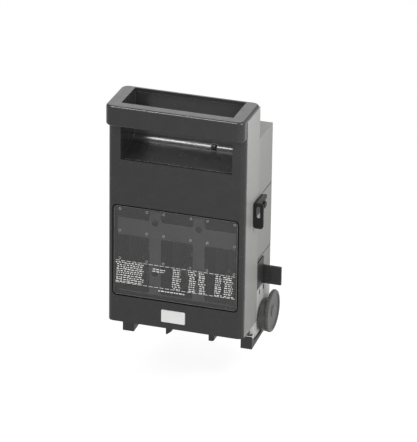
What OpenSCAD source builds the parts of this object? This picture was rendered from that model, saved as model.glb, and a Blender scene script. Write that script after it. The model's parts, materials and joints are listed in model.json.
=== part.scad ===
// Three-pole fuse switch disconnector for size 00 blade fuse-links, 160 A class.
// +Z is up, +X is to the right and the front faces -Y. The origin is the centre of the
// panel bolt pattern, on the plane of the mounting panel (y = 0).

/* [Front cover] */
// Width of the front cover
cover_w = 106; // [100:0.5:130]
// Height of the front cover from its lower edge to the top of the hand grip
cover_h = 176.5; // [170:0.5:200]
// Depth of the front cover from its front plane to its rear edge
cover_depth = 35.6; // [32:0.2:45]
// Distance that the cover stands out past each side of the base
cover_lap = 2.9; // [2.8:0.1:4]
// Thickness of the front wall
front_t = 3; // [2.4:0.1:4]
// Radius of the upright front edges
corner_r = 4.5; // [3:0.5:4.8]
// Depth to which the black front wraps round to the sides
cover_return = 5; // [5:0.1:8]
// Thickness of the grey side walls
side_t = 2.5; // [2:0.1:3]
// Visible joint line between the black front and the grey side walls
seam_gap = 0.4; // [0.2:0.1:0.8]
// Depth of the lip along the lower edge
lip_depth = 12; // [6:1:20]

/* [Hand grip] */
// Height of the grip band
band_h = 16.1; // [12:0.1:22]
// Distance that the band stands out from the front plane
band_proud = 7.2; // [4:0.2:10]
// Front-to-back thickness of the band
band_t = 8.7; // [8:0.1:12]
// Distance that the band stands out past each side of the cover
band_overhang = 0.3; // [0.1:0.1:1]
// Corner radius of the band in plan
band_r = 5.5; // [3:0.5:7]
// Thickness of the flat rim round the top opening
rim_t = 2.8; // [2:0.1:4]
// Width of the rim behind the top opening
rear_rim = 3.1; // [2.5:0.1:5]
// Width of the front wall on each side of the hand opening
grip_side = 10; // [7.5:0.5:13]
// Radius of the rim's and band's outer edges
rim_edge_r = 1.8; // [0.8:0.1:2.4]
// Height of the lower edge of the hand opening above the cover's lower edge
grip_bottom = 132; // [126:0.5:138]
// Rise of the sloping floor behind the hand opening
floor_rise = 6; // [3:0.5:9]
// Radius where the floor turns up into the rear wall of the hand opening
floor_fillet = 9; // [4:0.5:12]
// Wall thickness of the grip liner
liner_t = 2; // [1.6:0.1:2.6]
// Width of the small catch at the rear of the floor
catch_w = 3.6; // [2:0.2:6]

/* [Window] */
// Distance of the pane from each side of the cover
window_side = 5; // [4.6:0.1:8]
// Height of the window pane
window_h = 72; // [68:0.5:80]
// Height of the pane's lower edge above the cover's lower edge
window_bottom = 22.6; // [20:0.2:28]
// Corner radius of the pane
window_r = 3; // [2:0.5:6]
// Thickness of the pane
window_t = 2; // [1.5:0.1:2.2]
// Width of the ledge that the pane rests on
window_ledge = 2; // [1:0.1:3]
// Diameter of the test-probe holes
test_hole_d = 1.5; // [1.2:0.1:2.4]
// Distance of each test-probe hole from the side of its fuse bay
test_hole_inset = 2; // [1.5:0.1:2.5]
// Sideways offset of the test-probe holes from the bays' middles
test_hole_shift = 1.2; // [0:0.1:1.5]
// Height of the middle row of test-probe holes above the pane's centre
test_row_middle = 16; // [10:0.5:22]
// Depth of the lower row of test-probe holes below the pane's centre
test_row_low = 6.3; // [0:0.1:12]

/* [Label plate] */
// Width of the blank marking plate
label_w = 18.6; // [12:0.2:24]
// Height of the blank marking plate
label_h = 9.9; // [7:0.1:12]
// Height of its lower edge above the cover's lower edge
label_bottom = 5; // [4:0.2:8]
// Sideways place of its centre
label_x = -1.2; // [-6:0.2:6]
// Thickness of the plate
label_t = 1.2; // [0.8:0.1:1.6]

/* [Fuse carrier] */
// Distance between neighbouring fuse bays
bay_gap = 9; // [7:0.5:12]
// Height of each fuse bay
bay_h = 45; // [40:0.5:48]
// Height of the bays' lower edge above the cover's lower edge
bay_bottom = 25; // [24:0.5:28]
// Depth of the bay walls behind the carrier plate
bay_depth = 25; // [18:0.5:27]
// Thickness of the bay walls
bay_wall = 1.5; // [1.2:0.1:2]
// Thickness of the carrier plate
carrier_t = 2.2; // [1.8:0.1:3]
// Height of the small upper pockets in the carrier plate
upper_slot_h = 9; // [6:0.5:10]
// Head diameter of the carrier screws
carrier_head_d = 5; // [4:0.2:6]
// Shank diameter of the carrier screws
carrier_screw_d = 3; // [2.5:0.1:3.5]
// Distance of the upper carrier screws below the pane's top
screw_high = 11.9; // [8:0.1:16]
// Distance of the lower carrier screws above the pane's lower edge
screw_low = 19.2; // [12:0.1:26]

/* [Base] */
// Height of the base with its feet
base_h = 168; // [160:1:180]
// Depth of the base
base_depth = 41.1; // [38:0.1:50]
// Gap between the cover's rear edge and the front of the base
cover_gap = 0.8; // [0.5:0.1:2]
// Height of the cover's lower edge above the bottom of the feet
cover_rise = 24; // [22:0.5:28]
// Thickness of the side and top walls
base_wall = 2.5; // [2:0.1:3]
// Thickness of the back wall
back_t = 3; // [2.5:0.1:4]
// Thickness of the barriers between poles
barrier_t = 2.4; // [2:0.1:3]
// Set-back of the barriers from the base's front edge
barrier_setback = 2.3; // [2.2:0.1:4]
// Height of the upper joint line above the bottom of the feet
upper_seam = 120; // [116:0.5:122]
// Height of the lower joint line above the bottom of the feet
lower_seam = 69; // [64:0.5:72]
// Height of the terminal box's joint line above the bottom of the feet
box_seam = 44.2; // [43:0.2:46]
// Height of the feet below the terminal box
foot_h = 6.5; // [5.5:0.1:7]
// Width of the two outer feet
outer_foot_w = 9; // [7:0.1:10]
// Width of the two inner feet
inner_foot_w = 4.5; // [4:0.1:7]
// Height of the upper terminal cover
upper_guard_h = 27.2; // [20:0.2:32]
// Height of the lower terminal cover
lower_guard_h = 23.5; // [18:0.5:30]
// Width of each cable entry in the top wall
entry_w = 18; // [14:0.5:20]
// Depth of each cable entry
entry_depth = 24; // [16:0.5:26]

/* [Poles and contacts] */
// How much less than a pole pitch each outer third of the base takes
outer_saving = 0.9; // [0.6:0.1:1.2]
// Distance between the centres of the upper and lower jaws
jaw_span = 64; // [60:0.5:66]
// Height of each jaw
jaw_h = 14; // [12:0.5:16]
// Reach of the jaws in front of the contact strip
jaw_reach = 21; // [18:0.5:23]
// Thickness of the fuse-link blade that the jaws take
blade_t = 6; // [5:0.1:6.5]
// Thickness of the jaw legs
jaw_t = 1.6; // [1.2:0.1:2]
// Thickness of the contact strips
strip_t = 2.5; // [2:0.1:4]
// Height of the moulded pads behind the contact strips
pad_t = 6.5; // [5:0.1:8]
// Distance between the upper and lower terminal bolts
terminal_span = 124; // [120:1:130]
// Thread diameter of the terminal bolts
bolt_d = 8; // [6:0.5:8]
// Margin of the contact strip beside the bolt's washer
washer_margin = 0.75; // [0.4:0.05:1.5]
// Height of the bolt heads
bolt_head_h = 5.5; // [4:0.1:6]
// Thickness of the steel spring round each jaw
spring_t = 1.2; // [0.8:0.1:1.5]
// Width of that spring from front to back
spring_w = 8; // [5:0.5:9]
// Number of splitter plates in each arc chute
chute_plates = 5; // [3:1:6]
// Height of each arc chute
chute_h = 11; // [8:0.5:12]
// Thickness of the insulating cheeks of each arc chute
cheek_t = 1.4; // [1:0.1:1.8]

/* [Panel fixing] */
// Upright distance between the panel screws
fixing_span = 120; // [116:1:124]
// Diameter of the panel screw holes
fixing_d = 5.5; // [4.5:0.1:6]
// Outer diameter of the screw wells
well_d = 12; // [11:0.5:12.5]

/* [Hinge] */
// Distance of the hinge line in front of the cover's rear edge
hinge_setback = 2.6; // [2:0.1:4]
// Distance of the hinge line below the cover's lower edge
hinge_drop = 12.5; // [12:0.1:13.5]
// Diameter of the hinge pins
hinge_pin_d = 3.2; // [2.6:0.1:3.6]
// Outer radius of the hinge eyes
hinge_eye_r = 3.2; // [2.8:0.1:3.3]
// Thickness of the hinge arms
hinge_arm_t = 3.2; // [2.4:0.1:4]
// Reach of the outer feet in front of the hinge line
foot_reach = 2.5; // [2:0.1:3.5]

/* [Locking hasp] */
// Width of the padlock eye
hasp_w = 7.6; // [7:0.1:12]
// Height of the padlock eye
hasp_h = 20; // [18:0.5:24]
// Thickness of the hasp sheet
hasp_t = 1.8; // [1.2:0.1:2.5]
// Width of the slot in the padlock eye
hasp_slot_w = 2.8; // [2:0.1:4]
// Height of the slot in the padlock eye
hasp_slot_h = 10; // [6:0.5:12]
// Length of the arm from its pivot to the eye
hasp_arm = 21; // [18:0.5:24]
// Diameter of the hasp's pivot pin
hasp_pin_d = 3; // [2:0.1:3.5]
// Distance of its pivot in front of the panel
hasp_back = 35.5; // [34:0.5:36.5]

/* [Side attachments] */
// Height of the auxiliary switch block
block_h = 22.3; // [18:0.1:23]
// Front-to-back length of the auxiliary switch block
block_l = 20.7; // [18:0.1:22]
// Distance that the block stands out from the base
block_out = 1.2; // [1:0.1:2]
// Distance that the flag stands out from the base
flag_out = 14.8; // [12:0.2:18]
// Height of the flag
flag_h = 14.7; // [12:0.1:18]
// Thickness of the flag
flag_t = 2.2; // [1.6:0.1:3]
// Radius of the round hollow at the flag's root
flag_root_r = 7; // [5:0.5:7]
// Radius of the round cap
cap_r = 16.4; // [13:0.2:16.8]
// Distance that the round cap stands out from the base
cap_out = 8.9; // [6:0.1:11]
// Thickness of the serrated outer disc
disc_t = 2.8; // [2:0.1:4]
// Radius of the collar behind the disc
collar_r = 12.4; // [9:0.2:12.8]
// Offset of the collar from the disc's centre, towards the front
collar_offset = 4; // [0:0.2:4.4]
// Number of serrations round the cap
cap_hollows = 36; // [18:1:40]

/* [Hidden] */
$fn = 48;
poles = [1, 2, 3];
// Width and depth of the joint grooves between the housing sections
groove_w = 0.5;
groove_d = 0.7;
// Gap between neighbouring pieces, running clearance of a pin, and cutting margin
fit = 0.3;
running = 0.08;
eps = 0.5;
// Widths that follow from the cover's width
base_w = cover_w - 2 * cover_lap;
pole_pitch = (base_w + 2 * outer_saving) / 3;
grip_w = cover_w - 2 * grip_side;
window_w = cover_w - 2 * window_side;
bay_w = pole_pitch - bay_gap;
test_hole_spread = bay_w / 2 - test_hole_inset;
chute_half = pole_pitch / 2 - well_d / 2 - fit - cheek_t;
strip_w = 2 * (chute_half - fit);
washer_d = strip_w - 2 * washer_margin;
bolt_head_d = washer_d - 1.5;
// Levels and planes
base_bottom = -base_h / 2;
base_top = base_h / 2;
base_front = -base_depth;
barrier_front = base_front + barrier_setback;
seam_upper_z = base_bottom + upper_seam;
seam_lower_z = base_bottom + lower_seam;
seam_box_z = base_bottom + box_seam;
box_bottom = base_bottom + foot_h;
cover_bottom = base_bottom + cover_rise;
cover_top = cover_bottom + cover_h;
cover_rear = base_front - cover_gap;
cover_front = cover_rear - cover_depth;
cover_inner_w = cover_w - 2 * side_t;
inner_corner_r = corner_r - side_t + 0.5;
band_front = cover_front - band_proud;
band_back = band_front + band_t;
band_w = cover_w + 2 * band_overhang;
band_bottom = cover_top - band_h;
rim_bottom = cover_top - rim_t;
grip_z = cover_bottom + grip_bottom;
cavity_rear = cover_rear - rear_rim;
wall_back = cover_front + front_t;
window_z = cover_bottom + window_bottom + window_h / 2;
pane_front = cover_front + 0.3;
pane_back = pane_front + window_t;
label_z = cover_bottom + label_bottom + label_h / 2;
carrier_front = wall_back + 1;
carrier_back = carrier_front + carrier_t;
carrier_w = window_w;
carrier_h = window_h + 6;
bay_z = cover_bottom + bay_bottom + bay_h / 2;
upper_slot_z = window_z + window_h / 2 - window_ledge - upper_slot_h / 2;
carrier_screw_high = window_z + window_h / 2 - screw_high;
carrier_screw_low = window_z - window_h / 2 + screw_low;
strip_front = -back_t - pad_t - strip_t;
strip_back = -back_t - pad_t;
jaw_z = jaw_span / 2;
jaw_tip = strip_front - jaw_reach;
terminal_z = terminal_span / 2;
strip_end = terminal_z + strip_w / 2 + 3;
pad_h = strip_w + 4;
hinge_y = cover_rear - hinge_setback;
hinge_z = cover_bottom - hinge_drop;
side_front = cover_front + cover_return + seam_gap;
side_inner = cover_w / 2 - side_t;
base_side = base_w / 2;
hasp_inner = cover_w / 2 + 0.4;
hasp_pivot_y = -hasp_back;
hasp_pivot_z = seam_upper_z - 3;
hasp_eye_y = hasp_pivot_y - hasp_arm;
block_z = seam_lower_z - 1 - block_h;
block_front = base_front + 0.2;
flag_y = block_front + block_l;
cap_y = -cap_r - 0.5;
cap_z = box_bottom + cap_r - 1.3;
foot_x1 = base_side + 1.2;
foot_x0 = foot_x1 - outer_foot_w;
foot_front = hinge_y - foot_reach;
foot_rear = -12.5;
arm_x1 = foot_x0 - fit;

function pole_x(p) = (p - 2) * pole_pitch;

// Outline in plan drawn in X and Y, raised from z0 to z1
module along_z(z0, z1) {
    translate([0, 0, z0]) linear_extrude(z1 - z0) children();
}

// Outline drawn in X and Z, running back from y0 to y1
module along_y(y0, y1) {
    translate([0, y1, 0]) rotate([90, 0, 0]) linear_extrude(y1 - y0) children();
}

// Outline drawn in Y and Z, running from x0 to x1
module along_x(x0, x1) {
    translate([x0, 0, 0]) rotate([90, 0, 90]) linear_extrude(x1 - x0) children();
}

// Rectangle between two corners
module span2(x0, x1, y0, y1) {
    translate([x0, y0]) square([x1 - x0, y1 - y0]);
}

// Block between two corners
module span3(x0, x1, y0, y1, z0, z1) {
    translate([x0, y0, z0]) cube([x1 - x0, y1 - y0, z1 - z0]);
}

// Rectangle about the origin with round corners
module rounded_rect(w, h, r) {
    square([w - 2 * r, h], center = true);
    square([w, h - 2 * r], center = true);
    for (sx = [-1, 1], sy = [-1, 1])
        translate([sx * (w / 2 - r), sy * (h / 2 - r)]) circle(r);
}

// Plan outline with its front edge on y = 0 and round front corners
module front_outline(w, depth, r) {
    intersection() {
        union() {
            span2(-w / 2, w / 2, r, depth);
            span2(-w / 2 + r, w / 2 - r, 0, depth);
            for (s = [-1, 1]) translate([s * (w / 2 - r), r]) circle(r);
        }
        span2(-w / 2, w / 2, 0, depth);
    }
}

// Mirrors its children below the origin for the lower end
module at_end(side) {
    if (side < 0) mirror([0, 0, 1]) children();
    else children();
}

// Mirrors its children to the left
module at_side(side) {
    if (side < 0) mirror([1, 0, 0]) children();
    else children();
}

// Walls that every base section has: back, sides and pole barriers, in plan
module base_plan() {
    span2(-base_side, base_side, -back_t, 0);
    for (s = [-1, 1]) {
        span2(min(s * base_side, s * (base_side - base_wall)),
            max(s * base_side, s * (base_side - base_wall)), base_front, 0);
        span2(s * pole_pitch / 2 - barrier_t / 2, s * pole_pitch / 2 + barrier_t / 2,
            barrier_front, 0);
    }
}

// Grooves in both side walls along the lower edge of a housing section
module joint_grooves(z) {
    for (side = [-1, 1]) at_side(side)
        span3(base_side - groove_d, base_side + eps, base_front - eps, eps, z - eps, z + groove_w);
}

// Solid posts for the two panel screws of one end
module well_posts(z) {
    for (s = [-1, 1])
        translate([s * pole_pitch / 2, 0, z]) rotate([90, 0, 0])
            cylinder(d = well_d, h = -barrier_front);
}

// Screw holes and driver wells through those posts
module well_bores(z) {
    for (s = [-1, 1]) translate([s * pole_pitch / 2, 0, z]) rotate([90, 0, 0]) {
        translate([0, 0, -eps]) cylinder(d = fixing_d, h = base_depth);
        translate([0, 0, 2 * back_t]) cylinder(d = well_d - 2.4, h = base_depth);
    }
}

// Pads that the contact strips are bolted to
module contact_pads(side) {
    at_end(side) for (p = poles) translate([pole_x(p), 0, terminal_z])
        along_y(strip_back, -back_t + 0.01) rounded_rect(strip_w, pad_h, 3);
}

// Threaded holes in the contact pads
module pad_bores(side) {
    at_end(side) for (p = poles) translate([pole_x(p), -back_t, terminal_z])
        rotate([90, 0, 0]) cylinder(d = bolt_d, h = pad_t + eps);
}

module base_middle() {
    color("gainsboro") difference() {
        along_z(seam_lower_z, seam_upper_z) base_plan();
        joint_grooves(seam_lower_z);
        // Bore for the hasp's pivot pin
        translate([base_side - base_wall - eps, hasp_pivot_y, hasp_pivot_z]) rotate([0, 90, 0])
            cylinder(d = hasp_pin_d, h = base_wall + 2 * eps);
        // Vents in the back wall behind the fuse-links
        for (p = poles, i = [-1, 0, 1])
            translate([pole_x(p), 0, (seam_lower_z + seam_upper_z) / 2 + i * 10])
                along_y(-back_t - eps, eps) rounded_rect(16, 4.2, 2);
    }
}

module base_lower() {
    color("gainsboro") difference() {
        along_z(seam_box_z, seam_lower_z) base_plan();
        joint_grooves(seam_box_z);
    }
}

module base_upper() {
    color("gainsboro") difference() {
        union() {
            along_z(seam_upper_z, base_top) base_plan();
            span3(-base_side, base_side, base_front, 0, base_top - base_wall, base_top);
            well_posts(fixing_span / 2);
            contact_pads(1);
        }
        well_bores(fixing_span / 2);
        pad_bores(1);
        joint_grooves(seam_upper_z);
        // Cable entries in the top wall
        for (p = poles)
            translate([pole_x(p), barrier_front + entry_depth / 2 + 1.5, 0])
                along_z(base_top - base_wall - eps, base_top + eps)
                    rounded_rect(entry_w, entry_depth, 4);
    }
}

module terminal_box() {
    color("whitesmoke") difference() {
        union() {
            along_z(box_bottom, seam_box_z) base_plan();
            well_posts(-fixing_span / 2);
            contact_pads(-1);
            // Boss for the round cap on the right side
            translate([base_side - base_wall, cap_y, cap_z]) rotate([0, 90, 0])
                cylinder(r = 5, h = base_wall + 1.2);
        }
        well_bores(-fixing_span / 2);
        pad_bores(-1);
        // Two narrow slots in the right side wall
        for (y = [cap_y - 9.6, cap_y + 0.6])
            span3(base_side - base_wall - eps, base_side + eps, y - 0.6, y + 0.6,
                seam_box_z - 6.2, seam_box_z - 1.5);
        // Bore for the screw of the round cap
        translate([base_side - base_wall - eps, cap_y, cap_z]) rotate([0, 90, 0])
            cylinder(d = carrier_screw_d, h = base_wall + 3);
    }
}

// Outer foot with an open bearing on top for the hinge pin, on the right
module outer_foot() {
    difference() {
        along_x(foot_x0, foot_x1) polygon([
            [foot_front, base_bottom + 1.6], [foot_front, hinge_z],
            [base_front, hinge_z], [base_front, box_bottom],
            [foot_rear, box_bottom], [foot_rear - 3, base_bottom + 4]]);
        translate([foot_x0 - eps, hinge_y, hinge_z]) rotate([0, 90, 0])
            cylinder(d = hinge_pin_d, h = outer_foot_w + 2 * eps);
    }
}

// Inner foot at the lower end of a pole barrier, with its lower right corner cut away
module inner_foot(cut) {
    along_y(base_front + 1, foot_rear) polygon([
        [-inner_foot_w / 2, box_bottom], [-inner_foot_w / 2, base_bottom],
        [inner_foot_w / 2 - cut, base_bottom], [inner_foot_w / 2, base_bottom + 0.8 * cut],
        [inner_foot_w / 2, box_bottom]]);
}

module foot(n) {
    color("dimgray") {
        if (n == 1) at_side(-1) outer_foot();
        if (n == 4) outer_foot();
        if (n == 2) translate([-pole_pitch / 2, 0, 0]) inner_foot(3.5);
        if (n == 3) translate([pole_pitch / 2, 0, 0]) inner_foot(1.2);
    }
}

// One leg of a jaw in plan, bent outward at its mouth
module jaw_leg_plan() {
    polygon([
        [blade_t / 2, strip_front + 0.01], [blade_t / 2, jaw_tip + 4],
        [blade_t / 2 + 1.8, jaw_tip], [blade_t / 2 + 1.8 + jaw_t, jaw_tip],
        [blade_t / 2 + jaw_t, jaw_tip + 4], [blade_t / 2 + jaw_t, strip_front + 0.01]]);
}

// Copper strip with the terminal hole at one end and the jaw at the other
module contact(p, side) {
    color("peru") at_end(side) translate([pole_x(p), 0, 0]) difference() {
        union() {
            translate([0, 0, (jaw_z - jaw_h / 2 + strip_end) / 2])
                along_y(strip_front, strip_back)
                    rounded_rect(strip_w, strip_end - jaw_z + jaw_h / 2, 2.5);
            along_z(jaw_z - jaw_h / 2, jaw_z + jaw_h / 2) for (m = [0, 1])
                mirror([m, 0, 0]) jaw_leg_plan();
        }
        translate([0, strip_back + eps, terminal_z]) rotate([90, 0, 0])
            cylinder(d = bolt_d + 1, h = strip_t + 2 * eps);
    }
}

// Steel spring that presses the legs of a jaw together
module jaw_spring(p, side) {
    inner = blade_t / 2 + jaw_t + 0.1;
    spring_front = jaw_tip + 4.5;
    color("silver") at_end(side) translate([pole_x(p), 0, jaw_z])
        along_y(spring_front, spring_front + spring_w) difference() {
            span2(-inner - spring_t, inner + spring_t, -jaw_h / 2 + 1, jaw_h / 2 + 0.1 + spring_t);
            span2(-inner, inner, -jaw_h / 2 - eps, jaw_h / 2 + 0.1);
        }
}

// Hexagon bolt with its washer
module terminal_bolt(p, side) {
    color("lightgray") at_end(side) translate([pole_x(p), 0, terminal_z]) rotate([90, 0, 0]) {
        translate([0, 0, back_t + 0.6]) cylinder(d = bolt_d - 0.2, h = -strip_front - back_t);
        translate([0, 0, -strip_front]) cylinder(d = washer_d, h = 1.6);
        translate([0, 0, 1.5 - strip_front]) cylinder(d = bolt_head_d, h = bolt_head_h, $fn = 6);
    }
}

// Splitter plates between two insulating cheeks that stand on the back wall
module arc_chute(p) {
    half = chute_half;
    z0 = jaw_z + jaw_h / 2 + 2;
    front = jaw_tip - 2;
    plate_step = (strip_front - 3 - front - 1) / (chute_plates - 1);
    color("tan") translate([pole_x(p), 0, 0]) {
        for (s = [-1, 1])
            translate([s * (half + cheek_t / 2), 0, 0]) along_x(-cheek_t / 2, cheek_t / 2)
                span2(front, -back_t - 0.1, z0, z0 + chute_h);
        for (i = [0 : chute_plates - 1])
            along_y(front + i * plate_step, front + i * plate_step + 1) difference() {
                span2(-half - 0.1, half + 0.1, z0 + 0.5, z0 + chute_h - 0.5);
                polygon([[-4, z0], [4, z0], [0, z0 + 6]]);
            }
    }
}

// Flat cover in front of the terminals of one end
module terminal_cover(z0, z1) {
    inner = base_side - base_wall - fit;
    color("gainsboro") difference() {
        union() {
            span3(-inner, inner, base_front, barrier_front - 0.1, z0, z1);
            // Gripping ridge
            span3(-inner + 12, inner - 12, base_front - 0.5, base_front + 0.1, z0 + 2, z0 + 3.5);
        }
        // Probe holes over the terminal bolts
        for (p = poles) translate([pole_x(p), barrier_front + eps, (z0 + z1) / 2])
            rotate([90, 0, 0]) cylinder(d = 3.5, h = barrier_setback + 2 * eps);
    }
}

// Pin through the foot's open bearing and the cover's hinge eye
module hinge_pin(side) {
    color("silver") at_side(side) along_x(arm_x1 - hinge_arm_t - fit, foot_x1 + 0.2)
        translate([hinge_y, hinge_z]) circle(d = hinge_pin_d);
}

// Hasp: front-facing padlock eye, side arm with two lobes at its rear end, and pivot boss
module lock_hasp() {
    eye_top = hasp_pivot_z + 9.2;
    eye_z = eye_top - hasp_h / 2;
    eye_x = hasp_inner + hasp_w / 2;
    eye_corner_r = 2;
    color("dimgray") difference() {
        union() {
            translate([eye_x, 0, eye_z]) along_y(hasp_eye_y, hasp_eye_y + hasp_t)
                rounded_rect(hasp_w, hasp_h, eye_corner_r);
            along_x(hasp_inner, hasp_inner + hasp_t) hasp_arm_plan(eye_top);
            translate([base_side + fit, hasp_pivot_y, hasp_pivot_z]) rotate([0, 90, 0])
                cylinder(r = 3.4, h = hasp_inner - base_side - fit + 0.1);
        }
        translate([eye_x, 0, eye_z + 2.8]) along_y(hasp_eye_y - eps, hasp_eye_y + hasp_t + eps)
            rounded_rect(hasp_slot_w, hasp_slot_h, hasp_slot_w / 2 - 0.01);
        translate([base_side, hasp_pivot_y, hasp_pivot_z]) rotate([0, 90, 0])
            cylinder(d = hasp_pin_d + 2 * running, h = 10);
    }
}

// Side outline of the hasp's arm
module hasp_arm_plan(eye_top) {
    lobe_r = 1.8;
    polygon([
        [hasp_eye_y + 0.1, eye_top - 2], [hasp_eye_y + 2.1, eye_top - 0.2],
        [hasp_pivot_y - 3, eye_top - 0.2], [hasp_pivot_y + 5.3, hasp_pivot_z + 3.9 + lobe_r],
        [hasp_pivot_y + 3, hasp_pivot_z], [hasp_pivot_y, hasp_pivot_z - 3.9],
        [hasp_eye_y + 0.1, eye_top - 11]]);
    translate([hasp_pivot_y, hasp_pivot_z]) circle(4);
    translate([hasp_pivot_y + 5.3, hasp_pivot_z + 3.9]) circle(lobe_r);
    hull() {
        translate([hasp_pivot_y + 5.3, hasp_pivot_z - 2.2]) circle(lobe_r);
        translate([hasp_pivot_y + 1, hasp_pivot_z - 2.2]) circle(lobe_r);
    }
}

module hasp_pin() {
    color("silver") translate([0, hasp_pivot_y, hasp_pivot_z]) rotate([0, 90, 0]) {
        translate([0, 0, base_side - base_wall])
            cylinder(d = hasp_pin_d, h = base_wall + hasp_inner - base_side + hasp_t + fit);
        translate([0, 0, hasp_inner + hasp_t + fit]) cylinder(d = hasp_pin_d + 2, h = 1);
    }
}

// Flat block on the side of the base
module switch_block() {
    color("dimgray") span3(base_side, base_side + block_out, block_front, flag_y,
        block_z, block_z + block_h);
}

// Flag that stands out behind the switch block, with a shallow round hollow at its root
module switch_flag() {
    flag_z = block_z - 0.6;
    flag_top = flag_z + flag_h;
    color("dimgray") {
        difference() {
            along_y(flag_y, flag_y + flag_t) span2(base_side, base_side + flag_out, flag_z, flag_top);
            translate([base_side, flag_y + 0.5, flag_z + flag_h / 2]) rotate([90, 0, 0])
                cylinder(r = flag_root_r, h = 1);
        }
        // Stiffening gusset behind the flag
        along_z(flag_z + flag_h / 2 - 1, flag_z + flag_h / 2 + 1) polygon([
            [base_side, flag_y + flag_t - 0.1], [base_side + flag_out - 3, flag_y + flag_t - 0.1],
            [base_side, flag_y + flag_t + 7]]);
    }
}

// Round cap: a collar against the base, and a serrated disc with a sunk face
module round_cap() {
    disc_back = cap_out - disc_t;
    color("gray") translate([base_side, cap_y, cap_z]) rotate([0, 90, 0]) difference() {
        union() {
            translate([0, 0, disc_back]) rotate_extrude() polygon([
                [0, 0], [cap_r - 0.5, 0], [cap_r, 0.5], [cap_r, disc_t - 1],
                [cap_r - 0.4, disc_t - 0.3], [cap_r - 1.1, disc_t], [cap_r - 2.4, disc_t],
                [cap_r - 3, disc_t - 0.7], [5.2, disc_t - 0.7], [4.4, disc_t], [0, disc_t]]);
            translate([collar_offset / 2, -collar_offset, 1.4])
                cylinder(r = collar_r, h = disc_back - 1.3);
            cylinder(r = 6, h = disc_back, $fn = 48);
        }
        // Clearance over the boss on the base
        translate([0, 0, -eps]) cylinder(r = 5.2, h = eps + 1.3);
        for (i = [0 : cap_hollows - 1]) rotate([0, 0, i * 360 / cap_hollows])
            translate([cap_r + 0.7, 0, disc_back - eps])
                cylinder(r = 1.1, h = disc_t + 2 * eps, $fn = 24);
        // Hole for the screw that holds the cap from inside the base
        translate([0, 0, -eps]) cylinder(d = carrier_screw_d, h = cap_out - 1.5 + eps);
    }
}

module cap_screw() {
    color("silver") translate([0, cap_y, cap_z]) rotate([0, 90, 0]) {
        translate([0, 0, base_side - base_wall - 0.1])
            cylinder(d = carrier_screw_d, h = base_wall + cap_out - 1.9);
        translate([0, 0, base_side - base_wall - 1.8]) cylinder(r = 3, h = 1.8);
    }
}

// What a round edge of radius r takes away from a corner at the origin
module edge_waste(r) {
    difference() {
        span2(-eps, r, -r, eps);
        translate([r, -r]) circle(r);
    }
}

// Waste along the upper front and side edges of a front outline with its top on z = 0
module edge_cut(w, depth, r) {
    for (side = [-1, 1]) at_side(side) {
        along_x(-eps, w / 2 - r) edge_waste(rim_edge_r);
        translate([w / 2 - r, r, 0]) rotate([0, 0, -90]) rotate_extrude(angle = 90)
            translate([r, 0]) mirror([1, 0]) edge_waste(rim_edge_r);
        translate([w / 2, 0, 0]) along_y(r, depth) mirror([1, 0]) edge_waste(rim_edge_r);
    }
}

// Hinge arm from the lower lip to the hinge eye, just inside the outer foot, on the right
module hinge_arm() {
    lip_back = cover_front + lip_depth;
    along_x(arm_x1 - hinge_arm_t, arm_x1) difference() {
        union() {
            polygon([
                [lip_back - 6, cover_bottom + 0.2],
                [hinge_y - 0.5 * hinge_eye_r, hinge_z - 0.86 * hinge_eye_r],
                [hinge_y + 0.5 * hinge_eye_r, hinge_z + 0.86 * hinge_eye_r],
                [lip_back, cover_bottom + 2.3]]);
            translate([hinge_y, hinge_z]) circle(hinge_eye_r);
        }
        translate([hinge_y, hinge_z]) circle(d = hinge_pin_d + 2 * running);
    }
}

// Black moulded front: wrapped front wall, grip band and top rim
module front_cover() {
    cavity_w = grip_w;
    color("#333333") difference() {
        union() {
            translate([0, cover_front, 0]) along_z(cover_bottom, rim_bottom + 0.01) difference() {
                front_outline(cover_w, cover_return, corner_r);
                translate([0, front_t])
                    front_outline(cover_inner_w, cover_return, inner_corner_r);
            }
            // Lip along the lower edge
            span3(-cover_inner_w / 2 + 0.1, cover_inner_w / 2 - 0.1, wall_back - 0.1,
                cover_front + lip_depth, cover_bottom, cover_bottom + 2.5);
            // Grip band
            translate([0, band_front, 0]) along_z(band_bottom, cover_top)
                front_outline(band_w, band_t, band_r);
            // Rim round the top opening
            translate([0, (band_front + cover_rear) / 2, 0]) along_z(rim_bottom, cover_top)
                rounded_rect(band_w, cover_rear - band_front, band_r);
            for (side = [-1, 1]) at_side(side) hinge_arm();
            // Stiffening ribs behind the plain area
            for (s = [-1, 1]) span3(s * pole_pitch / 2 - 1, s * pole_pitch / 2 + 1,
                wall_back - 0.1, wall_back + 10, window_z + window_h / 2 + 5, grip_z - 6);
        }
        // Pocket and light opening for the window pane
        translate([0, 0, window_z]) {
            along_y(cover_front - eps, pane_back + 0.05)
                rounded_rect(window_w + 2 * fit, window_h + 2 * fit, window_r + fit);
            along_y(cover_front, wall_back + eps)
                rounded_rect(window_w - 2 * window_ledge, window_h - 2 * window_ledge, window_r);
        }
        // Hand opening below the band, and the hollow behind it
        span3(-cavity_w / 2, cavity_w / 2, cover_front - eps, wall_back + eps,
            grip_z, band_bottom);
        span3(-cavity_w / 2, cavity_w / 2, band_back, cavity_rear, grip_z, cover_top + eps);
        // Round outer edges of the rim and of the band
        rim_depth = cover_rear - band_front;
        translate([0, band_front, cover_top]) {
            edge_cut(band_w, rim_depth / 2 + eps, band_r);
            translate([0, rim_depth, 0]) mirror([0, 1, 0])
                edge_cut(band_w, rim_depth / 2 + eps, band_r);
        }
        translate([0, band_front, band_bottom]) mirror([0, 0, 1])
            edge_cut(band_w, band_t + eps, band_r);
        // Pocket for the marking plate
        translate([label_x, 0, label_z]) along_y(cover_front - eps, cover_front + label_t)
            rounded_rect(label_w + 2 * fit, label_h + 2 * fit, 1);
    }
}

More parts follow.
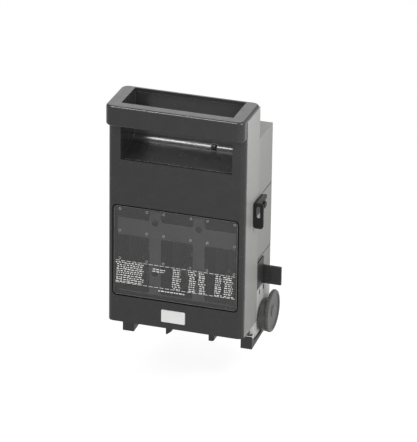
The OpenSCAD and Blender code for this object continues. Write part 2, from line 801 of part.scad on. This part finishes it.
// Grey side wall of the cover
module side_wall(side) {
    color("gainsboro") at_side(side) along_x(side_inner, cover_w / 2)
        span2(side_front, cover_rear, cover_bottom - 0.6, rim_bottom);
}

// Side view of the hollow for the hand: sloping floor, round fillet, upright rear wall
module cavity_outline() {
    slope = floor_rise / (cavity_rear - wall_back);
    angle = atan(slope);
    fillet_y = cavity_rear - floor_fillet;
    fillet_z = grip_z + slope * (fillet_y - wall_back) + floor_fillet / cos(angle);
    polygon(concat(
        [[wall_back - 1, grip_z - slope]],
        [for (i = [0 : 8]) let (a = -90 + angle + i * (90 - angle) / 8)
            [fillet_y + floor_fillet * cos(a), fillet_z + floor_fillet * sin(a)]],
        [[cavity_rear, cover_top + 1], [wall_back - 1, cover_top + 1]]));
}

// Moulded liner that closes the hollow for the hand
module grip_liner() {
    catch_z = grip_z + floor_rise;
    color("#3a3a3a") {
        difference() {
            along_x(-grip_w / 2 - liner_t, grip_w / 2 + liner_t) polygon([
                [wall_back, grip_z - liner_t - 0.5],
                [cover_rear, catch_z - liner_t - 0.5],
                [cover_rear, rim_bottom], [wall_back, rim_bottom]]);
            along_x(-grip_w / 2, grip_w / 2) cavity_outline();
        }
        // Small moulded catch at the rear of the floor
        translate([grip_w / 4 - 2, 0, 0])
            span3(-catch_w / 2, catch_w / 2, cavity_rear - 5, cavity_rear + 0.1,
                catch_z, catch_z + 2.6);
    }
}

module window() {
    color("lightsteelblue", 0.5) difference() {
        translate([0, 0, window_z]) along_y(pane_front, pane_back)
            rounded_rect(window_w, window_h, window_r);
        // Test-probe holes, two in each of three rows for each pole
        for (p = poles, s = [-1, 1], z = [window_h / 2 - 2.4, test_row_middle, -test_row_low])
            translate([pole_x(p) + test_hole_shift + s * test_hole_spread, pane_back + eps, window_z + z])
                rotate([90, 0, 0]) cylinder(d = test_hole_d, h = window_t + 2 * eps);
    }
}

// Frame behind the window that takes a fuse-link in each bay
module fuse_carrier() {
    color("gray") difference() {
        union() {
            translate([0, 0, window_z]) along_y(carrier_front, carrier_back)
                rounded_rect(carrier_w, carrier_h, 2);
            // Raised edge that seats against the cover
            translate([0, 0, window_z]) along_y(wall_back, carrier_front + 0.1) difference() {
                rounded_rect(carrier_w, carrier_h, 2);
                rounded_rect(window_w - 2 * window_ledge + 1, window_h - 2 * window_ledge + 1, 2);
            }
            for (p = poles) translate([pole_x(p), 0, bay_z])
                along_y(carrier_back - 0.1, carrier_back + bay_depth)
                    rounded_rect(bay_w + 2 * bay_wall, bay_h + 2 * bay_wall, 2.5);
            for (s = [-1, 1], z = [carrier_screw_low, carrier_screw_high])
                translate([s * pole_pitch / 2, carrier_back + 8, z]) rotate([90, 0, 0])
                    cylinder(d = carrier_screw_d + 2.6, h = 8.1);
        }
        for (p = poles) {
            translate([pole_x(p), 0, bay_z])
                along_y(carrier_front - eps, carrier_back + bay_depth + eps)
                    rounded_rect(bay_w, bay_h, 2);
            // Blind pocket above each bay
            translate([pole_x(p), 0, upper_slot_z])
                along_y(carrier_front - eps, carrier_back - 0.8)
                    rounded_rect(bay_w, upper_slot_h, 2);
        }
        for (s = [-1, 1], z = [carrier_screw_low, carrier_screw_high])
            translate([s * pole_pitch / 2, carrier_back + 7, z]) rotate([90, 0, 0])
                cylinder(d = carrier_screw_d, h = carrier_t + 8);
        // Notches in the bay ends for the fuse-link's blades and gripping lugs
        for (p = poles) span3(pole_x(p) - 5, pole_x(p) + 5, carrier_back + bay_depth - 12,
            carrier_back + bay_depth + eps, bay_z - bay_h / 2 - 3, bay_z + bay_h / 2 + 3);
    }
}

module label_plate() {
    color("white") translate([label_x, 0, label_z])
        along_y(cover_front - 0.2, cover_front + label_t) rounded_rect(label_w, label_h, 0.8);
}

module carrier_screw(n) {
    side = n % 2 == 1 ? -1 : 1;
    z = n > 2 ? carrier_screw_high : carrier_screw_low;
    color("#222222") translate([side * pole_pitch / 2, carrier_front, z]) rotate([90, 0, 0]) {
        translate([0, 0, -carrier_t - 6]) cylinder(d = carrier_screw_d, h = carrier_t + 6.1);
        cylinder(d = carrier_head_d, h = 0.9);
    }
}

base_lower();
base_middle();
base_upper();
terminal_box();
for (n = [1 : 4]) foot(n);
for (p = poles) contact(p, 1);
for (p = poles) contact(p, -1);
for (p = poles) jaw_spring(p, 1);
for (p = poles) jaw_spring(p, -1);
for (p = poles) terminal_bolt(p, 1);
for (p = poles) terminal_bolt(p, -1);
for (p = poles) arc_chute(p);
terminal_cover(base_top - base_wall - fit - upper_guard_h, base_top - base_wall - fit);  // upper_terminal_cover
terminal_cover(hinge_z - 1, hinge_z - 1 + lower_guard_h);  // lower_terminal_cover
hinge_pin(-1);  // hinge_pin_left
hinge_pin(1);  // hinge_pin_right
lock_hasp();
hasp_pin();
switch_block();
switch_flag();
round_cap();
cap_screw();
front_cover();
side_wall(-1);  // side_wall_left
side_wall(1);  // side_wall_right
grip_liner();
window();
fuse_carrier();
label_plate();
for (n = [1 : 4]) carrier_screw(n);
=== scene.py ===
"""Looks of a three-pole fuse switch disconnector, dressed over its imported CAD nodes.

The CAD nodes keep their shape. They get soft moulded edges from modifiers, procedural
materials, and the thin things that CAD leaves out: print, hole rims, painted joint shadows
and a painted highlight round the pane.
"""

import json
import math

import bmesh
import bpy
from mathutils import Matrix, Vector

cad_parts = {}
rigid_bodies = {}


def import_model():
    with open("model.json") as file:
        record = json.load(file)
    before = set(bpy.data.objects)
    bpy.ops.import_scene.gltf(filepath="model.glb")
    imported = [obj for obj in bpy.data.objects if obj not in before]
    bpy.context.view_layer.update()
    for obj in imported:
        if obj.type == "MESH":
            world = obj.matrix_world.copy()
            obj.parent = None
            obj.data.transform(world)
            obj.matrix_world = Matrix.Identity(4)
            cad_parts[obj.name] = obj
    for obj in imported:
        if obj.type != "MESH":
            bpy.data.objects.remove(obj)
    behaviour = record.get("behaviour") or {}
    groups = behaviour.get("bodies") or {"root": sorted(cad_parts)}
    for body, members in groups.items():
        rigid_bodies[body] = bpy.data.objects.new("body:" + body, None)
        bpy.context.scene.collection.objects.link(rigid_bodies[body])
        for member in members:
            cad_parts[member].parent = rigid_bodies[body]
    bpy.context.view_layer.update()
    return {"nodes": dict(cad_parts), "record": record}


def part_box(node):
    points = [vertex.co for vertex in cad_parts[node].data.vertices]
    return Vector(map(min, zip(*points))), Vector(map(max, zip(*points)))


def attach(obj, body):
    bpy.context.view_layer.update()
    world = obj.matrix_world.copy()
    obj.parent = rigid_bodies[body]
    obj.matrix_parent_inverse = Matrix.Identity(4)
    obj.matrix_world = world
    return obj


MM = 0.001

# Camera, fitted to the straight edges in the photograph
AZIMUTH = 17.72
ELEVATION = 24.19
ROLL = 0.79
CAMERA_DISTANCE = 2.93
CAMERA_TARGET = Vector((0.0125, -0.0367, 0.0134))
FOCAL_PX = 3928
PHOTO_LONG_SIDE_PX = 442
SENSOR_MM = 36

# Sizes that the CAD source also uses, in millimetres
POLE_PITCH = 34
TEST_HOLE_SPREAD = 10.5
TEST_HOLE_SHIFT = 1.2
TEST_HOLE_D = 1.5
TEST_ROW_TOP_INSET = 2.4
TEST_ROW_MIDDLE = 16
TEST_ROW_LOW = -6.3
CARRIER_FACE = -73.4
# Just under the lowest point that the opened cover reaches
FLOOR_Z = -113.5


def linear(hex_colour):
    """Linear RGBA of an sRGB hex colour."""
    channels = [int(hex_colour[i:i + 2], 16) / 255 for i in (1, 3, 5)]
    return [c / 12.92 if c <= 0.04045 else ((c + 0.055) / 1.055) ** 2.4 for c in channels] + [1]


def add(tree, kind, values=None, links=None, **settings):
    """Adds a node with its settings, socket values and incoming links."""
    node = tree.nodes.new(kind)
    for name, value in settings.items():
        setattr(node, name, value)
    for name, value in (values or {}).items():
        node.inputs[name].default_value = value
    for name, source in (links or {}).items():
        tree.links.new(source, node.inputs[name])
    return node


def new_material(name):
    """A material with an output and an empty tree, and its Object coordinates."""
    material = bpy.data.materials.new(name)
    material.use_nodes = True
    tree = material.node_tree
    tree.nodes.clear()
    output = add(tree, "ShaderNodeOutputMaterial")
    coords = add(tree, "ShaderNodeTexCoord").outputs["Object"]
    return material, tree, output, coords


def moulded(name, colour, dark, roughness, grain_mm=1.1, mottle_mm=9, bump=0.08, sheen=0.5):
    """Injection-moulded plastic: a fine eroded grain, faint flow mottling, a satin skin."""
    material, tree, output, coords = new_material(name)
    mottle = add(tree, "ShaderNodeTexNoise", {"Scale": 1 / (mottle_mm * MM), "Detail": 4,
                                              "Roughness": 0.6}, {"Vector": coords})
    grain = add(tree, "ShaderNodeTexNoise", {"Scale": 1 / (grain_mm * MM), "Detail": 3,
                                             "Roughness": 0.7}, {"Vector": coords})
    blend = add(tree, "ShaderNodeMath", {1: 0.5}, {0: grain.outputs["Fac"]},
                operation="MULTIPLY")
    both = add(tree, "ShaderNodeMath", None, {0: mottle.outputs["Fac"],
                                              1: blend.outputs[0]}, operation="ADD")
    ramp = add(tree, "ShaderNodeValToRGB", None, {"Fac": both.outputs[0]})
    ramp.color_ramp.elements[0].position = 0.55
    ramp.color_ramp.elements[0].color = linear(dark)
    ramp.color_ramp.elements[1].position = 0.95
    ramp.color_ramp.elements[1].color = linear(colour)
    rough = add(tree, "ShaderNodeMapRange", {"From Min": 0.3, "From Max": 0.7,
                                             "To Min": roughness - 0.05,
                                             "To Max": roughness + 0.06},
                {"Value": mottle.outputs["Fac"]})
    relief = add(tree, "ShaderNodeBump", {"Strength": bump, "Distance": 0.1 * MM},
                 {"Height": grain.outputs["Fac"]})
    shader = add(tree, "ShaderNodeBsdfPrincipled", {"IOR": 1.5, "Specular IOR Level": sheen},
                 {"Base Color": ramp.outputs["Color"], "Roughness": rough.outputs["Result"],
                  "Normal": relief.outputs["Normal"]})
    tree.links.new(shader.outputs[0], output.inputs["Surface"])
    return material


def metal(name, colour, roughness, grain_mm=0.6, stretch=12, bump=0.05):
    """Rolled or drawn metal with a plated skin: fine lines along its length."""
    material, tree, output, coords = new_material(name)
    lines = add(tree, "ShaderNodeMapping", {"Scale": (1, 1, 1 / stretch)}, {"Vector": coords})
    grain = add(tree, "ShaderNodeTexNoise", {"Scale": 1 / (grain_mm * MM), "Detail": 4,
                                             "Roughness": 0.65}, {"Vector": lines.outputs[0]})
    cloud = add(tree, "ShaderNodeTexNoise", {"Scale": 1 / (6 * MM), "Detail": 3},
                {"Vector": coords})
    rough = add(tree, "ShaderNodeMapRange", {"From Min": 0.3, "From Max": 0.7,
                                             "To Min": roughness - 0.08,
                                             "To Max": roughness + 0.1},
                {"Value": cloud.outputs["Fac"]})
    relief = add(tree, "ShaderNodeBump", {"Strength": bump, "Distance": 0.05 * MM},
                 {"Height": grain.outputs["Fac"]})
    shader = add(tree, "ShaderNodeBsdfPrincipled",
                 {"Base Color": linear(colour), "Metallic": 1.0},
                 {"Roughness": rough.outputs["Result"], "Normal": relief.outputs["Normal"]})
    tree.links.new(shader.outputs[0], output.inputs["Surface"])
    return material


def smoked_polycarbonate():
    """Thin smoked polycarbonate: a grey haze that lets most of the light through."""
    material, tree, output, coords = new_material("smoked_polycarbonate")
    streaks = add(tree, "ShaderNodeTexNoise", {"Scale": 1 / (14 * MM), "Detail": 2},
                  {"Vector": coords})
    tint = add(tree, "ShaderNodeValToRGB", None, {"Fac": streaks.outputs["Fac"]})
    tint.color_ramp.elements[0].color = linear("#515151")
    tint.color_ramp.elements[1].color = linear("#565656")
    pane = add(tree, "ShaderNodeBsdfPrincipled",
               {"Roughness": 0.08, "IOR": 1.4, "Alpha": 0.5},
               {"Base Color": tint.outputs["Color"]})
    tree.links.new(pane.outputs[0], output.inputs["Surface"])
    return material


def carrier_with_painted_bay_shade():
    """Grey plate behind the window, with painted shade: near-black deeper in its bays."""
    bay_shade_depth = 0.4
    material = moulded("grey_abs_fuse_carrier", "#cacac9", "#c2c2c1", 0.5)
    tree = material.node_tree
    shader = next(n for n in tree.nodes if n.bl_idname == "ShaderNodeBsdfPrincipled")
    skin = shader.inputs["Base Color"].links[0].from_socket
    coords = next(n for n in tree.nodes if n.bl_idname == "ShaderNodeTexCoord")
    depth = add(tree, "ShaderNodeSeparateXYZ", None, {"Vector": coords.outputs["Object"]})
    bay_shade_mask = add(tree, "ShaderNodeMapRange", {"From Min": CARRIER_FACE * MM,
                                              "From Max": (CARRIER_FACE + bay_shade_depth) * MM},
                 {"Value": depth.outputs["Y"]})
    blend = add(tree, "ShaderNodeMix", None, {"Factor": bay_shade_mask.outputs["Result"]},
                data_type="RGBA")
    tree.links.new(skin, blend.inputs[6])
    # Painted shade: the near-black colour of the bays' depths
    blend.inputs[7].default_value = linear("#101010")
    tree.links.new(blend.outputs[2], shader.inputs["Base Color"])
    return material


def flat_ink(name, colour, roughness=0.5, gloss=0.5):
    """Even colour with slight pinholes: ink, cut edges, painted shade and painted highlights.
    """
    material, tree, output, coords = new_material(name)
    specks = add(tree, "ShaderNodeTexNoise", {"Scale": 1 / (0.8 * MM), "Detail": 2},
                 {"Vector": coords})
    ramp = add(tree, "ShaderNodeValToRGB", None, {"Fac": specks.outputs["Fac"]})
    ramp.color_ramp.elements[0].position = 0.25
    ramp.color_ramp.elements[0].color = [c * 0.75 for c in linear(colour)[:3]] + [1]
    ramp.color_ramp.elements[1].position = 0.5
    ramp.color_ramp.elements[1].color = linear(colour)
    shader = add(tree, "ShaderNodeBsdfPrincipled",
                 {"Roughness": roughness, "Specular IOR Level": gloss},
                 {"Base Color": ramp.outputs["Color"]})
    tree.links.new(shader.outputs[0], output.inputs["Surface"])
    return material


def make_materials():
    """Every finish of the object, by the name of the record's material slot."""
    return {
        # Glossy black ABS shell: near-black, with a soft sheen from the light above
        "cover_black": moulded("black_moulded_abs", "#323233", "#2d2d2e", 0.24, bump=0.05,
                               sheen=0.32),
        "liner_black": moulded("black_abs_liner", "#303031", "#2b2b2c", 0.24, bump=0.03,
                               sheen=0.45),
        # Light grey glass-filled polyamide: matt, with faint mottling
        "base_grey": moulded("grey_polyamide_housing", "#989896", "#8f8f8d", 0.5,
                             grain_mm=1.6, mottle_mm=5, bump=0.12, sheen=0.4),
        "side_grey": moulded("grey_polyamide_cover_sides", "#9b9b99", "#929290", 0.48,
                             grain_mm=1.6, mottle_mm=5, bump=0.12, sheen=0.4),
        "terminal_light": moulded("pale_polyamide_terminal_box", "#dededb", "#d6d6d3", 0.5,
                                  grain_mm=1.6, mottle_mm=5, bump=0.1, sheen=0.4),
        # Black glass-filled polyamide of the small parts: duller than the shell
        "small_black": moulded("black_polyamide_small_parts", "#2c2c2c", "#252525", 0.48,
                               bump=0.1, sheen=0.4),
        "carrier_grey": carrier_with_painted_bay_shade(),
        # Dark grey ABS of the round cap, slightly shinier than the housing
        "cap_grey": moulded("grey_abs_round_cap", "#4a4a49", "#404040", 0.42, mottle_mm=6),
        # Pressed vulcanised fibre: brown and matt
        "chute_tan": moulded("pressed_fibre_arc_chute", "#8f8168", "#7b6d55", 0.7),
        # Bare white marking plate: almost no grain
        "label_white": moulded("white_abs_marking_plate", "#f4f4f2", "#eeeeec", 0.45,
                               bump=0.03),
        "window_smoke": smoked_polycarbonate(),
        # Silver-plated copper: warm bright grey
        "contact_copper": metal("silver_plated_copper", "#d8d2c6", 0.28),
        # Zinc-plated steel: cool bright grey with soft lines
        "steel": metal("zinc_plated_steel", "#cfcfcd", 0.32),
        # Black stoved enamel: an even dull skin over pressed steel
        "hasp_dark": moulded("black_stoved_enamel_on_steel", "#1f1f20", "#1a1a1b", 0.5,
                             bump=0.06, sheen=0.2),
    }


def soften_edges(node, width_mm):
    """Gives a CAD node the small round edges of a moulding, as live modifiers."""
    weld = node.modifiers.new("join_faces", "WELD")
    weld.merge_threshold = 0.002 * MM
    flat = node.modifiers.new("flat_faces", "DECIMATE")
    flat.decimate_type = "DISSOLVE"
    flat.angle_limit = math.radians(0.5)
    bevel = node.modifiers.new("moulded_edges", "BEVEL")
    bevel.width = width_mm * MM
    bevel.segments = 2
    bevel.limit_method = "ANGLE"
    bevel.angle_limit = math.radians(38)
    even = node.modifiers.new("flat_face_normals", "WEIGHTED_NORMAL")
    even.mode = "FACE_AREA"
    even.weight = 100
    for polygon in node.data.polygons:
        polygon.use_smooth = True


def finish_cad_nodes(frame, materials):
    """Assigns each CAD node its finish and its edge softness."""
    slots = {s["node"]: s["material_slot"] for s in frame["record"]["subparts"]}
    edge_mm = {"cover_black": 0.8, "side_grey": 0.35, "base_grey": 0.35, "terminal_light": 0.35,
               "small_black": 0.35, "cap_grey": 0.3, "hasp_dark": 0.3, "liner_black": 0.3,
               "carrier_grey": 0.25, "label_white": 0.15, "contact_copper": 0.15,
               "steel": 0.15, "window_smoke": 0.25, "chute_tan": 0.1}
    for name, node in frame["nodes"].items():
        slot = slots[name]
        node.data.materials.clear()
        node.data.materials.append(materials[slot])
        soften_edges(node, edge_mm[slot])


def mesh_piece(name, mesh_maker, material, body):
    """Makes an object at the origin from a bmesh and lets it ride on a body."""
    bm = bmesh.new()
    mesh_maker(bm)
    bmesh.ops.recalc_face_normals(bm, faces=bm.faces)
    mesh = bpy.data.meshes.new(name)
    bm.to_mesh(mesh)
    bm.free()
    mesh.materials.append(material)
    piece = bpy.data.objects.new(name, mesh)
    bpy.context.scene.collection.objects.link(piece)
    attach(piece, body)
    return piece


def add_block(bm, size, centre):
    """A rectangular block of this size about its centre."""
    made = bmesh.ops.create_cube(bm, size=1)
    bmesh.ops.scale(bm, vec=size, verts=made["verts"])
    bmesh.ops.translate(bm, vec=centre, verts=made["verts"])


def add_bar(bm, x0, x1, z0, z1, y, depth):
    """A thin printed bar that stands forward of the plane y."""
    add_block(bm, (x1 - x0, depth, z1 - z0), ((x0 + x1) / 2, y - depth / 2, (z0 + z1) / 2))


def window_print(ink):
    """The printed table on the pane: rules and rows of short bars, with no lettering."""
    low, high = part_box("window")
    y = low.y - 0.01 * MM
    depth = 0.04 * MM
    left = low.x + 1.5 * MM
    right = high.x - 1.5 * MM
    top = low.z + 27.5 * MM
    bottom = low.z + 9.5 * MM
    rule_dash = 3.2 * MM
    rule_step = 4.3 * MM
    rule_h = 0.35 * MM
    row_step = 1.72 * MM
    bar_h = 0.75 * MM
    foot_line_left = low.x + 35 * MM
    foot_line_low = low.z + 6.9 * MM
    foot_line_top = low.z + 7.7 * MM
    foot_line_gap = 0.6 * MM
    # Each column's start and end as shares of the table's width, and its first and last row
    columns = [(0.0, 0.235, 0, 10), (0.31, 0.42, 1, 3), (0.475, 0.55, 0, 10),
               (0.61, 0.675, 0, 10), (0.695, 0.755, 0, 10), (0.83, 0.89, 0, 10),
               (0.905, 0.985, 0, 10)]

    def fill(bm):
        for z in (top, bottom):
            x = left
            while x < right:
                add_bar(bm, x, min(x + rule_dash, right), z, z + rule_h, y, depth)
                x += rule_step
        for number, (start, end, first, last) in enumerate(columns):
            for row in range(first, last):
                z = top - (row + 1) * row_step
                # A small fixed sequence makes the bars' lengths and heights uneven
                step = (row * 7 + number * 5) % 11
                x = left + start * (right - left) + (step % 4) * 0.35 * MM
                stop = left + end * (right - left) - (step % 5) * 0.3 * MM
                while x < stop:
                    step = (step * 5 + 3) % 11
                    length = (0.6 + 0.17 * step) * MM
                    lift = (step % 3 - 1) * 0.12 * MM
                    add_bar(bm, x, min(x + length, stop), z + lift, z + lift + bar_h, y, depth)
                    x += length + (0.55 + 0.12 * (step % 4)) * MM
        # Short line under the table
        x = foot_line_left
        for index in range(9):
            length = (1.6, 2.4, 1.2)[index % 3] * MM
            add_bar(bm, x, x + length, foot_line_low, foot_line_top, y, depth)
            x += length + foot_line_gap

    return mesh_piece("window_print", fill, ink, "cover")


def hole_rims(ink):
    """Frosted edges of the test-probe holes in the pane."""
    low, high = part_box("window")
    centre_z = (low.z + high.z) / 2
    half = (high.z - low.z) / 2
    rows = (half - TEST_ROW_TOP_INSET * MM, TEST_ROW_MIDDLE * MM, TEST_ROW_LOW * MM)
    radius = TEST_HOLE_D / 2 * MM
    overlap = 0.02 * MM
    proud = 0.03 * MM
    rim_scale = 1.22

    def fill(bm):
        for pole in (-1, 0, 1):
            for side in (-1, 1):
                for row in rows:
                    made = bmesh.ops.create_circle(bm, radius=radius - overlap, segments=24)
                    edges = list({e for v in made["verts"] for e in v.link_edges})
                    outer = bmesh.ops.extrude_edge_only(bm, edges=edges)
                    verts = [g for g in outer["geom"] if isinstance(g, bmesh.types.BMVert)]
                    bmesh.ops.scale(bm, vec=(rim_scale, rim_scale, 1), verts=verts)
                    ring = made["verts"] + verts
                    bmesh.ops.rotate(bm, matrix=Matrix.Rotation(math.radians(90), 3, "X"),
                                     verts=ring)
                    across = pole * POLE_PITCH + TEST_HOLE_SHIFT + side * TEST_HOLE_SPREAD
                    place = Vector((across * MM, low.y - proud, centre_z + row))
                    bmesh.ops.translate(bm, vec=place, verts=ring)

    piece = mesh_piece("test_hole_rims", fill, ink, "cover")
    thick = piece.modifiers.new("rim_depth", "SOLIDIFY")
    thick.thickness = 0.05 * MM
    return piece


def add_frame(bm, half_w, half_h, corner_r, width, centre, y, depth):
    """A flat frame with round corners: half sizes and radius of its outer edge, in metres."""
    corner_steps = 8
    loops = []
    for inset in (0, width):
        loop = []
        radius = max(corner_r - inset, 0.1 * MM)
        for corner, (sx, sz) in enumerate(((1, 1), (-1, 1), (-1, -1), (1, -1))):
            for step in range(corner_steps + 1):
                angle = math.radians(90 * corner + 90 * step / corner_steps)
                x = sx * (half_w - inset - radius) + radius * math.cos(angle)
                z = sz * (half_h - inset - radius) + radius * math.sin(angle)
                loop.append((centre.x + x, centre.z + z))
        loops.append(loop)
    rings = [[bm.verts.new((x, y - lift, z)) for x, z in loop]
             for lift in (0, depth) for loop in loops]
    count = len(rings[0])
    for a, b in ((0, 1), (1, 3), (3, 2), (2, 0)):
        for i in range(count):
            j = (i + 1) % count
            bm.faces.new((rings[a][i], rings[a][j], rings[b][j], rings[b][i]))


def window_outline(dark, light):
    """Painted shadow in the joint round the pane, and a painted highlight on the pane's edge.
    """
    low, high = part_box("window")
    centre = (low + high) / 2
    half_w = (high.x - low.x) / 2
    half_h = (high.z - low.z) / 2
    # The cover's face lies this far in front of the pane
    plane = low.y - 0.3 * MM

    def joint(bm):
        add_frame(bm, half_w + 1.1 * MM, half_h + 1.1 * MM, 3.2 * MM, 0.9 * MM, centre, plane,
                  0.03 * MM)

    def lip(bm):
        add_frame(bm, half_w + 0.15 * MM, half_h + 0.15 * MM, 2.2 * MM, 0.4 * MM, centre,
                  low.y, 0.05 * MM)

    # Painted shadow: a near-black frame where the joint is in shade
    mesh_piece("window_joint_painted_shadow", joint, dark, "cover")
    # Painted highlight: a thin grey frame for the light on the pane's edge
    mesh_piece("window_lip_painted_highlight", lip, light, "cover")


def side_joint_painted_shadows(dark):
    """Painted shadow in the housing's joints, and painted shade for two narrow side slots."""
    sections = [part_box(name) for name in ("base_upper", "base_middle", "base_lower")]
    box_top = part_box("terminal_box")[1].z
    side = sections[0][1].x
    front, rear = sections[0][0].y, sections[0][1].y
    line_h = 0.6 * MM
    proud = 0.02 * MM
    # The lines stop short of the housing's rounded edges by half of this
    ends = 0.8 * MM
    slots = (-26.5 * MM, -16.3 * MM)
    slot_w = 1.9 * MM
    slot_h = 3.8 * MM
    slot_drop = 3.9 * MM

    def fill(bm):
        # Painted shadow lines along the joints
        for low, _high in sections:
            for x in (-side, side):
                add_block(bm, (2 * proud, rear - front - ends, line_h),
                          (x, (front + rear) / 2, low.z + line_h / 2))
        # Painted shade: flat near-black marks for the two slots
        for y in slots:
            add_block(bm, (2 * proud, slot_w, slot_h), (side, y, box_top - slot_drop))

    return mesh_piece("side_joint_painted_shadows", fill, dark, "base")


def direction(azimuth, elevation):
    """Unit vector from the object towards a place at these angles, in degrees."""
    a, e = math.radians(azimuth), math.radians(elevation)
    return Vector((math.sin(a) * math.cos(e), -math.cos(a) * math.cos(e), math.sin(e)))


def make_camera():
    """Camera at the photograph's viewing angle, with no shift and no blur."""
    back = direction(AZIMUTH, ELEVATION)
    data = bpy.data.cameras.new("camera")
    data.sensor_width = SENSOR_MM
    data.lens = FOCAL_PX / PHOTO_LONG_SIDE_PX * SENSOR_MM
    data.clip_start = 0.1
    data.clip_end = 50
    camera = bpy.data.objects.new("camera", data)
    camera.location = CAMERA_TARGET + back * CAMERA_DISTANCE
    level = (-back).to_track_quat("-Z", "Y").to_matrix().to_4x4()
    turned = level @ Matrix.Rotation(math.radians(ROLL), 4, "Z")
    camera.rotation_euler = turned.to_euler()
    bpy.context.scene.collection.objects.link(camera)
    bpy.context.scene.camera = camera


def seen_directly(tree):
    """A socket that is 1 for camera, glossy and transmission rays, and 0 for all others."""
    path = add(tree, "ShaderNodeLightPath")
    seen = add(tree, "ShaderNodeMath", None, {0: path.outputs["Is Camera Ray"],
                                              1: path.outputs["Is Glossy Ray"]},
               operation="MAXIMUM")
    seen_too = add(tree, "ShaderNodeMath", None, {0: seen.outputs[0],
                                                  1: path.outputs["Is Transmission Ray"]},
                   operation="MAXIMUM")
    return seen_too.outputs[0]


def make_stage():
    """White floor that keeps a faint shadow, and a world that is white to the eye."""
    bpy.ops.mesh.primitive_plane_add(size=12, location=(0, 0, FLOOR_Z * MM))
    floor = bpy.context.object
    floor.name = "floor"
    material, tree, output, _coords = new_material("white_paper_floor")
    # Grey paper keeps the shadow, and a glow that only the eye sees lifts it to white
    paper = add(tree, "ShaderNodeBsdfDiffuse", {"Color": linear("#a6a6a6")})
    glow = add(tree, "ShaderNodeEmission", {"Color": (1, 1, 1, 1), "Strength": 0.85})
    both = add(tree, "ShaderNodeAddShader", None, {0: paper.outputs[0], 1: glow.outputs[0]})
    mix = add(tree, "ShaderNodeMixShader", None, {0: seen_directly(tree), 1: paper.outputs[0],
                                                  2: both.outputs[0]})
    tree.links.new(mix.outputs[0], output.inputs["Surface"])
    floor.data.materials.append(material)

    world = bpy.data.worlds.new("studio")
    bpy.context.scene.world = world
    world.use_nodes = True
    tree = world.node_tree
    tree.nodes.clear()
    output = add(tree, "ShaderNodeOutputWorld")
    lighting = add(tree, "ShaderNodeBackground", {"Color": (1, 1, 1, 1), "Strength": 0.22})
    backdrop = add(tree, "ShaderNodeBackground", {"Color": (1, 1, 1, 1), "Strength": 1.0})
    mix = add(tree, "ShaderNodeMixShader", None, {0: seen_directly(tree),
                                                  1: lighting.outputs[0],
                                                  2: backdrop.outputs[0]})
    tree.links.new(mix.outputs[0], output.inputs["Surface"])


def add_area_light(name, azimuth, elevation, distance, size, power):
    """A square soft box that points at the object's middle: angles in degrees, power in W."""
    back = direction(azimuth, elevation)
    data = bpy.data.lights.new(name, "AREA")
    data.size = size
    data.energy = power
    lamp = bpy.data.objects.new(name, data)
    lamp.location = back * distance
    lamp.rotation_euler = (-back).to_track_quat("-Z", "Y").to_euler()
    bpy.context.scene.collection.objects.link(lamp)
    return lamp


def make_lights():
    """Soft boxes and a fill, placed to give the photograph's grey levels and highlights."""
    add_area_light("top_soft_box", -34, 44, 1.5, 0.55, 3.7)
    # Small and close, so that its light falls off down the grey side
    add_area_light("right_soft_box", 64, 36, 0.36, 0.16, 0.68)
    add_area_light("rear_soft_box", 200, 20, 1.6, 0.6, 1.5)
    # Seen only in shiny skins: the bright lines on the rim's edge and in the hand opening
    glint = add_area_light("edge_glint", -34, 60, 1.4, 0.3, 10)
    glint.visible_diffuse = False
    # Seen only in dull skins, or it would burn out in the contacts
    fill = add_area_light("front_fill", 14, 8, 2.2, 1.2, 25)
    fill.visible_glossy = False


def main():
    for item in list(bpy.data.objects):
        bpy.data.objects.remove(item)
    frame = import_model()
    materials = make_materials()
    make_camera()
    finish_cad_nodes(frame, materials)
    ink = flat_ink("white_screen_print", "#f2f2f0")
    frost = flat_ink("frosted_polycarbonate_edge", "#e6e6e6", 0.7)
    window_print(ink)
    hole_rims(frost)
    # Painted shade for joints and slots: near-black with no gloss
    shade = flat_ink("painted_joint_shadow", "#0b0b0b", 0.8, 0.02)
    # The grey ink of the pane's lip is a painted highlight
    window_outline(shade, flat_ink("painted_pane_edge_highlight", "#6e6e6e", 0.3))
    side_joint_painted_shadows(shade)
    make_stage()
    make_lights()
    bpy.context.scene.view_settings.view_transform = "Standard"


main()
